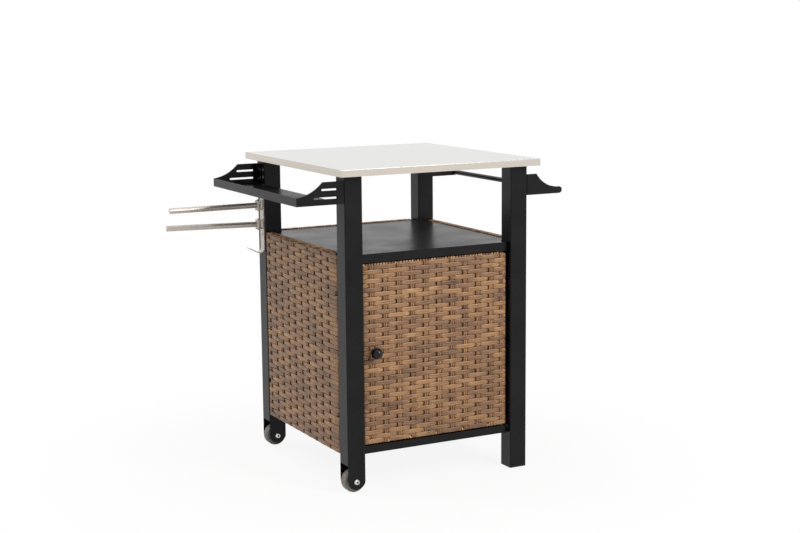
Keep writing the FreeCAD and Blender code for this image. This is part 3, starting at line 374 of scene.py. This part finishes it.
def bind_edge(weave, half, tall, upper, clear):
    """The diagonal wrapping round an upper or lower tube, left out where a pin comes through."""
    turn = BINDING_START + ROUND_TUBE[1:] + TUBE_INSIDE
    crossed = len(turn) - 1 - len(TUBE_INSIDE)
    slant = [min(1.0, step/crossed) - 0.5 for step in range(len(turn))]
    room = 2*half - 2*BINDING_INSET
    turns = int(room/BINDING_GAP)
    stop = half - BINDING_STOP
    for number in range(turns):
        start = -half + BINDING_INSET + (number + 0.5)*room/turns
        if any(abs(start - spot) < PIN_CLEAR for spot in clear):
            continue
        lean = BINDING_SLANT*draw.uniform(*BINDING_UNEVEN)
        path = [(max(-stop, min(stop, start + lean*share)), inward, tall - edge if upper else edge)
                for share, (edge, inward) in zip(slant, turn)]
        lay_strand(weave, path, PLAIN, (-1 if upper else 1, 0, 0), BINDING_WIDE/2, BINDING_THICK,
                   draw.uniform(*BINDING_TONE), binding=True)


def woven_panel(name, node, body, across, inward, uprights, first_row, pull, rail, bolts=(), clear=()):
    """Weaves a panel in the place of its CAD node. uprights are where the pairs stand, in mm across from the
    middle, first_row says which of them the lowest row goes behind, pull is how far the weaver's hand drew each
    pair to one side of its gap, rail and bolts are heights above the panel's foot, and clear is where pins come
    through its edges."""
    low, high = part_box(node)
    across, inward, upward = Vector(across), Vector(inward), Vector((0, 0, 1))
    size = (high - low)/MM
    half, deep, tall = abs(size.dot(across))/2, abs(size.dot(inward)), size.z
    uprights = [u for u in uprights if abs(u) < half - UPRIGHT_FROM_EDGE]
    rows = round((tall - UPPER_BOUND - LOWER_BOUND)/ROW)
    pitch = (tall - UPPER_BOUND - LOWER_BOUND)/rows
    weave = {"points": [], "faces": [], "binding": [], "strand": []}
    patch = draw.uniform(0, PANELS_APART)
    rails = (TUBE_MIDDLE, rail, tall - TUBE_MIDDLE)
    for row in range(rows):
        under = [u for number, u in enumerate(uprights) if (number + row) % 2 == first_row]
        over = [u for number, u in enumerate(uprights) if (number + row) % 2 != first_row]
        lay_row(weave, half, LOWER_BOUND + (row + 0.5)*pitch, under, over, bolts, rails, patch)
    for number, upright in enumerate(uprights):
        shown = [(number + row) % 2 == first_row for row in range(rows)]
        for side in (-0.5, 0.5):
            lay_upright(weave, upright + pull + side*UPRIGHT_APART, tall, shown, patch)
    bind_edge(weave, half, tall, True, clear)
    bind_edge(weave, half, tall, False, clear)

    middle = (low + high)/2 - inward*deep/2*MM
    middle.z = low.z
    axes = np.array([across, inward, upward])*MM
    mesh = bpy.data.meshes.new(name)
    mesh.from_pydata(np.concatenate(weave["points"]) @ axes + np.array(middle), [], weave["faces"])
    strand = mesh.attributes.new("strand", "FLOAT_VECTOR", "POINT")
    strand.data.foreach_set("vector", np.concatenate(weave["strand"]).ravel())
    mesh.materials.append(strand_plastic)
    mesh.materials.append(binding_plastic)
    mesh.polygons.foreach_set("material_index", [int(bound) for bound in weave["binding"]])
    mesh.polygons.foreach_set("use_smooth", [True]*len(weave["faces"]))
    piece = bpy.data.objects.new(name, mesh)
    bpy.context.collection.objects.link(piece)
    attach(piece, body)
    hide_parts(node)


# Extruded polyethylene strand: half matt, coloured unevenly through its length so that it looks like dried
# cane, with fine lines drawn along it by the die. The lines are about 0.4 mm apart, drawn at 2 mm.
STRAND_DRIFT = 130
STRAND_LINE = 2.0
STRAND_LINE_LONG = 36
# How much the drift and the lines change the tone, and how far apart strands of other tones are in the patterns
DRIFT_WEIGHT, LINE_WEIGHT = 0.5, 0.8
TONES_APART = 9


def strand_finish(name, stops):
    """The strand plastic in one set of colours, from its darkest tone to its palest."""
    finish, tree, shader = new_finish(name)
    lie = add(tree, "Attribute", attribute_name="strand")
    tone = add(tree, "SeparateXYZ", {"Vector": lie.outputs["Vector"]})
    drift_place = add(tree, "Mapping", {"Vector": lie.outputs["Vector"],
                                        "Scale": (1/(STRAND_DRIFT*MM), 0, TONES_APART)})
    drift = add(tree, "TexNoise", {"Vector": drift_place.outputs["Vector"], "Scale": 1.0, "Detail": 1.0})
    line_place = add(tree, "Mapping", {"Vector": lie.outputs["Vector"],
                                       "Scale": (1/(STRAND_LINE_LONG*MM), 1/(STRAND_LINE*MM), TONES_APART)})
    lines = add(tree, "TexNoise", {"Vector": line_place.outputs["Vector"], "Scale": 1.0, "Detail": 2.0})
    drifted = add(tree, "Math", {0: drift.outputs["Fac"], 1: DRIFT_WEIGHT, 2: tone.outputs["Z"]},
                  operation="MULTIPLY_ADD")
    lined = add(tree, "Math", {0: lines.outputs["Fac"], 1: LINE_WEIGHT, 2: drifted.outputs["Value"]},
                operation="MULTIPLY_ADD")
    level = add(tree, "Math", {0: lined.outputs["Value"], 1: (DRIFT_WEIGHT + LINE_WEIGHT)/2}, operation="SUBTRACT")
    shade = add(tree, "ValToRGB", {"Fac": level.outputs["Value"]}, stops)
    rough = add(tree, "MapRange", {"Value": lines.outputs["Fac"], "To Min": 0.3, "To Max": 0.5})
    relief = add(tree, "Bump", {"Height": lines.outputs["Fac"], "Strength": 0.55, "Distance": 0.25*MM})
    feed(tree, shader, {"Base Color": shade.outputs["Color"], "Roughness": rough.outputs["Result"],
                        "Specular IOR Level": 0.4, "Normal": relief.outputs["Normal"]})
    return finish


strand_plastic = strand_finish("polyethylene_cane_strand", [
    (0.0, "#503525"), (1.0, "#C8A17A"), (0.25, "#785840"), (0.45, "#8E694B"), (0.6, "#A17852"),
    (0.8, "#B4895F")])
binding_plastic = strand_finish("polyethylene_binding_strand", [
    (0.0, "#5A3926"), (1.0, "#CDA16D"), (0.5, "#9C6C46")])

# Pairs of uprights stand evenly apart from near the middle, and the door and the rear have one more by a side tube
SIDE_MIDDLE, SIDE_APART = 1.7, 42.9
DOOR_MIDDLE, DOOR_APART, DOOR_LAST = 7.4, 39.65, 200.6
SIDE_UPRIGHTS = [SIDE_MIDDLE + SIDE_APART*k for k in range(-5, 6)]
DOOR_UPRIGHTS = [DOOR_MIDDLE + DOOR_APART*k for k in range(-5, 5)] + [DOOR_LAST]
PANEL_BOLTS = (104, 425)
PANEL_RAIL = 260.5
woven_panel("woven_left", "panel_left_weave", "cart", (0, -1, 0), (1, 0, 0), SIDE_UPRIGHTS, first_row=1, pull=-2.4,
            rail=PANEL_RAIL, bolts=PANEL_BOLTS)
woven_panel("woven_right", "panel_right_weave", "cart", (0, 1, 0), (-1, 0, 0), SIDE_UPRIGHTS, first_row=0, pull=0.9,
            rail=PANEL_RAIL, bolts=PANEL_BOLTS)
woven_panel("woven_rear", "panel_rear_weave", "cart", (-1, 0, 0), (0, -1, 0), DOOR_UPRIGHTS, first_row=0, pull=-0.9,
            rail=PANEL_RAIL, bolts=PANEL_BOLTS)

# Door
# A woven panel of the same make on its own tube frame, hung on two steel pins at its right side that turn
# in plastic bushes. A turned knob is screwed on through the frame, and a magnet holds the door shut.
DOOR_RAIL = 241
DOOR_PIN = 204
woven_panel("woven_door", "door_weave", "door", (1, 0, 0), (0, 1, 0), DOOR_UPRIGHTS, first_row=1, pull=0.6,
            rail=DOOR_RAIL, clear=[DOOR_PIN])

# Phenolic resin, moulded and polished: deep gloss black, with faint smears where hands have been
KNOB_SMEAR = 6
phenolic, tree, shader = new_finish("black_polished_phenolic")
place = add(tree, "TexCoord")
polish = add(tree, "TexNoise", {"Vector": place.outputs["Object"], "Scale": 1/(KNOB_SMEAR*MM), "Detail": 3.0})
smears = add(tree, "MapRange", {"Value": polish.outputs["Fac"], "To Min": 0.05, "To Max": 0.12})
shade = add(tree, "ValToRGB", {"Fac": polish.outputs["Fac"]}, [(0.3, "#0B0C0C"), (0.7, "#121413")])
feed(tree, shader, {"Base Color": shade.outputs["Color"], "Roughness": smears.outputs["Result"],
                    "Specular IOR Level": 0.28})
dress(phenolic, "door_knob")

# Top
# One sheet of stainless steel, folded down all round into an 18 mm rim. It lies over the legs, spot-welded
# to the rails and the stiffener that are screwed to them.

# Polished stainless: a bright, faintly warm mirror, its polishing lines running the length of the top, and
# painted darker along the bend as painted shade that dims the softbox's highlight there. The lines are hairlines,
# drawn 1.5 mm apart.
TOP_LINE = 1.5
TOP_LINE_LONG = 160
# How far below the flat the bend starts and ends
BEND_STARTS, BEND_ENDS = 0.2, 1.0
top_steel, tree, shader = new_finish("polished_stainless_sheet")
place = add(tree, "TexCoord")
line_place = add(tree, "Mapping", {"Vector": place.outputs["Object"],
                                   "Scale": (1/(TOP_LINE_LONG*MM), 1/(TOP_LINE*MM), 1/(TOP_LINE*MM))})
lines = add(tree, "TexNoise", {"Vector": line_place.outputs["Vector"], "Scale": 1.0, "Detail": 2.0})
height = add(tree, "SeparateXYZ", {"Vector": place.outputs["Object"]})
on_rim = add(tree, "MapRange", {"Value": height.outputs["Z"], "From Min": cad_high.z - BEND_ENDS*MM,
                                "From Max": cad_high.z - BEND_STARTS*MM, "To Min": 1.0, "To Max": 0.0})
# Painted shade: the dark stop at 0.57 lies on the bend where the front softbox's highlight falls
shade = add(tree, "ValToRGB", {"Fac": on_rim.outputs["Result"]}, [
    (0.0, "#C9C9C4"), (1.0, "#CFC7BC"), (0.35, "#C4C2BC"), (0.57, "#8C8780"), (0.8, "#C8C1B6")])
polish = add(tree, "MapRange", {"Value": lines.outputs["Fac"], "To Min": 0.1, "To Max": 0.22})
rough = add(tree, "MapRange", {"Value": on_rim.outputs["Result"], "To Min": polish.outputs["Result"],
                               "To Max": 0.26})
relief = add(tree, "Bump", {"Height": lines.outputs["Fac"], "Strength": 0.03, "Distance": 0.05*MM})
feed(tree, shader, {"Base Color": shade.outputs["Color"], "Metallic": 1.0,
                    "Roughness": rough.outputs["Result"], "Normal": relief.outputs["Normal"]})
dress(top_steel, "top_sheet")

# Rack and handle rail
# On the left two slotted end brackets carry a folded tray; on the right two more carry a steel rail.
# The brackets are screwed to the legs through their flanges, and all has the legs' powder coat.
dress(coat, "rack_bracket_front", "rack_bracket_rear", "rack_tray",
      "handle_bracket_front", "handle_bracket_rear", "handle_rail")

# Black oxide on steel screws and pins: nearly as dark as the coat, with a little of the metal's shine, and paler
# in small worn spots
OXIDE_WEAR = 2.5
black_oxide, tree, shader = new_finish("black_oxide_on_steel")
place = add(tree, "TexCoord")
wear = add(tree, "TexNoise", {"Vector": place.outputs["Object"], "Scale": 1/(OXIDE_WEAR*MM), "Detail": 3.0})
shade = add(tree, "ValToRGB", {"Fac": wear.outputs["Fac"]}, [(0.35, "#141415"), (0.75, "#242425")])
feed(tree, shader, {"Base Color": shade.outputs["Color"], "Metallic": 0.3, "Roughness": 0.45})
dress(black_oxide, "rack_screws", "handle_screws", "door_pin_top", "door_pin_bottom")

# Swivel hanger
# A stainless strip screwed to the rear left leg and bent into a hook at its foot. Two tubes, one above the
# other, turn each on its own pin between two lugs of the strip, with a plug in each free end.

# Brushed stainless: warm grey with fine lines along its length, and only partly a mirror, so that it keeps its
# grey in a white room. The lines are hairlines, drawn 1.8 mm apart.
HANGER_LINE = 1.8
HANGER_LINE_LONG = 220


def brushed_finish(name, level, upright, stops):
    """Stainless with its lines level or upright, from the pattern's sizes across the floor and upward in mm."""
    finish, tree, shader = new_finish(name)
    place = add(tree, "TexCoord")
    line_place = add(tree, "Mapping", {"Vector": place.outputs["Object"],
                                       "Scale": (1/(level*MM), 1/(level*MM), 1/(upright*MM))})
    lines = add(tree, "TexNoise", {"Vector": line_place.outputs["Vector"], "Scale": 1.0, "Detail": 2.0})
    shade = add(tree, "ValToRGB", {"Fac": lines.outputs["Fac"]}, stops)
    rough = add(tree, "MapRange", {"Value": lines.outputs["Fac"], "To Min": 0.16, "To Max": 0.28})
    relief = add(tree, "Bump", {"Height": lines.outputs["Fac"], "Strength": 0.1, "Distance": 0.05*MM})
    feed(tree, shader, {"Base Color": shade.outputs["Color"], "Metallic": 0.35,
                        "Roughness": rough.outputs["Result"], "Normal": relief.outputs["Normal"]})
    return finish


tube_steel = brushed_finish("brushed_stainless_tube", HANGER_LINE_LONG, HANGER_LINE,
                            [(0.3, "#BAB1A7"), (0.7, "#E0D7CD")])
dress(tube_steel, "arm_upper", "arm_upper_cap", "arm_lower", "arm_lower_cap")
strip_steel = brushed_finish("brushed_stainless_strip", HANGER_LINE, HANGER_LINE_LONG,
                             [(0.3, "#B9B0A6"), (0.7, "#DAD2C9")])
dress(strip_steel, "hanger_strip", "hanger_pins", "hanger_screws")

# Floor
# Seamless pale studio paper: white where the camera or a reflection looks at it, and grey enough close
# to the feet to keep their shadow.
FLOOR_HALF = 9.0
# Metres from the middle between which the shadow fades out, and how white the paper is nearer in
SHADOW_NEAR, SHADOW_FAR = 0.4, 1.1
NEAR_WHITE = 0.9
paper, tree, shader = new_finish("pale_studio_paper")
place = add(tree, "TexCoord")
away = add(tree, "VectorMath", {0: place.outputs["Object"]}, operation="LENGTH")
whitening = add(tree, "MapRange", {"Value": away.outputs["Value"], "From Min": SHADOW_NEAR,
                                   "From Max": SHADOW_FAR, "To Min": NEAR_WHITE, "To Max": 1.0},
                interpolation_type="SMOOTHSTEP")
rays = add(tree, "LightPath")
mirrored = add(tree, "Math", {0: rays.outputs["Is Camera Ray"], 1: rays.outputs["Is Glossy Ray"]},
               operation="MAXIMUM")
seen = add(tree, "Math", {0: mirrored.outputs["Value"], 1: rays.outputs["Is Transmission Ray"]},
           operation="MAXIMUM")
share = add(tree, "Math", {0: seen.outputs["Value"], 1: whitening.outputs["Result"]}, operation="MULTIPLY")
glow = add(tree, "Emission", {"Color": linear("#FFFFFF"), "Strength": 1.0})
feed(tree, shader, {"Base Color": linear("#EDEDEC"), "Roughness": 0.9})
mixed = add(tree, "MixShader", {0: share.outputs["Value"], 1: shader.outputs["BSDF"],
                                2: glow.outputs["Emission"]})
feed(tree, tree.nodes["Material Output"], {"Surface": mixed.outputs["Shader"]})
mesh = bpy.data.meshes.new("studio_floor")
mesh.from_pydata([(x*FLOOR_HALF, y*FLOOR_HALF, 0) for x, y in ((-1, -1), (1, -1), (1, 1), (-1, 1))], [],
                 [(0, 1, 2, 3)])
mesh.materials.append(paper)
floor = bpy.data.objects.new("studio_floor", mesh)
bpy.context.collection.objects.link(floor)
floor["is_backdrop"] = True

# Light
# A white studio with a greyer ceiling: even light from all round, and softboxes high in front of the cart,
# behind it and at its rear left, with a wide one above it.
ROOM_LIGHT = 0.17
CEILING = 0.7
# How far a line of length 1 rises where the ceiling begins, and where it is fully grey
CEILING_BEGINS, CEILING_FULL = 0.3, 0.8
world = bpy.data.worlds.new("white_studio")
bpy.context.scene.world = world
world.use_nodes = True
tree = world.node_tree
rays = add(tree, "LightPath")
mirrored = add(tree, "Math", {0: rays.outputs["Is Camera Ray"], 1: rays.outputs["Is Glossy Ray"]},
               operation="MAXIMUM")
seen = add(tree, "Math", {0: mirrored.outputs["Value"], 1: rays.outputs["Is Transmission Ray"]},
           operation="MAXIMUM")
way = add(tree, "TexCoord")
height = add(tree, "SeparateXYZ", {"Vector": way.outputs["Generated"]})
ceiling = add(tree, "MapRange", {"Value": height.outputs["Z"], "From Min": CEILING_BEGINS,
                                 "From Max": CEILING_FULL, "To Min": 1.0, "To Max": CEILING},
              interpolation_type="SMOOTHSTEP")
shown = add(tree, "Math", {0: rays.outputs["Is Camera Ray"], 1: ceiling.outputs["Result"]}, operation="MAXIMUM")
level = add(tree, "MapRange", {"Value": seen.outputs["Value"], "To Min": ROOM_LIGHT,
                               "To Max": shown.outputs["Value"]})
feed(tree, tree.nodes["Background"], {"Color": linear("#FFFFFF"), "Strength": level.outputs["Result"]})
# Where each softbox stands, its width and height in metres, and its watts; all face the middle of the cart
SOFTBOXES = {"left_softbox": ((-2.1, 1.4, 2.5), (0.8, 0.8), 27),
             "front_softbox": ((1.4, -3.1, 2.5), (1.5, 1.5), 93),
             "rear_softbox": ((-0.6, 2.7, 3.3), (1.0, 1.0), 30),
             "top_softbox": ((-0.2, -0.4, 2.9), (3.0, 3.0), 26)}
CART_MIDDLE = Vector((0.05, 0, 0.42))
for name, (stand, (wide, tall), watts) in SOFTBOXES.items():
    lamp = bpy.data.lights.new(name, "AREA")
    lamp.shape, lamp.size, lamp.size_y, lamp.energy = "RECTANGLE", wide, tall, watts
    softbox = bpy.data.objects.new(name, lamp)
    softbox.location = stand
    softbox.rotation_euler = (CART_MIDDLE - Vector(stand)).to_track_quat("-Z", "Y").to_euler()
    softbox.visible_camera = False
    bpy.context.collection.objects.link(softbox)

# Camera
# Solved from the corners of the top, legs and panels: where it stands, its lens in mm, and its turn, tilt and
# roll in degrees.
CAMERA_STANDS = (-1.8379, -3.7188, 1.2159)
CAMERA_ANGLES = (27.707, 9.229, -0.507)
view = bpy.data.cameras.new("photograph_view")
view.lens, view.sensor_width = 68.875, 36
camera = bpy.data.objects.new("photograph_view", view)
turn, tilt, roll = (math.radians(angle) for angle in CAMERA_ANGLES)
camera.matrix_world = (Matrix.Translation(CAMERA_STANDS) @ Matrix.Rotation(-turn, 4, "Z")
                       @ Matrix.Rotation(math.pi/2 - tilt, 4, "X") @ Matrix.Rotation(roll, 4, "Z"))
bpy.context.collection.objects.link(camera)
bpy.context.scene.camera = camera
bpy.context.scene.view_settings.view_transform = "Standard"

bpy.context.view_layer.update()
low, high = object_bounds()
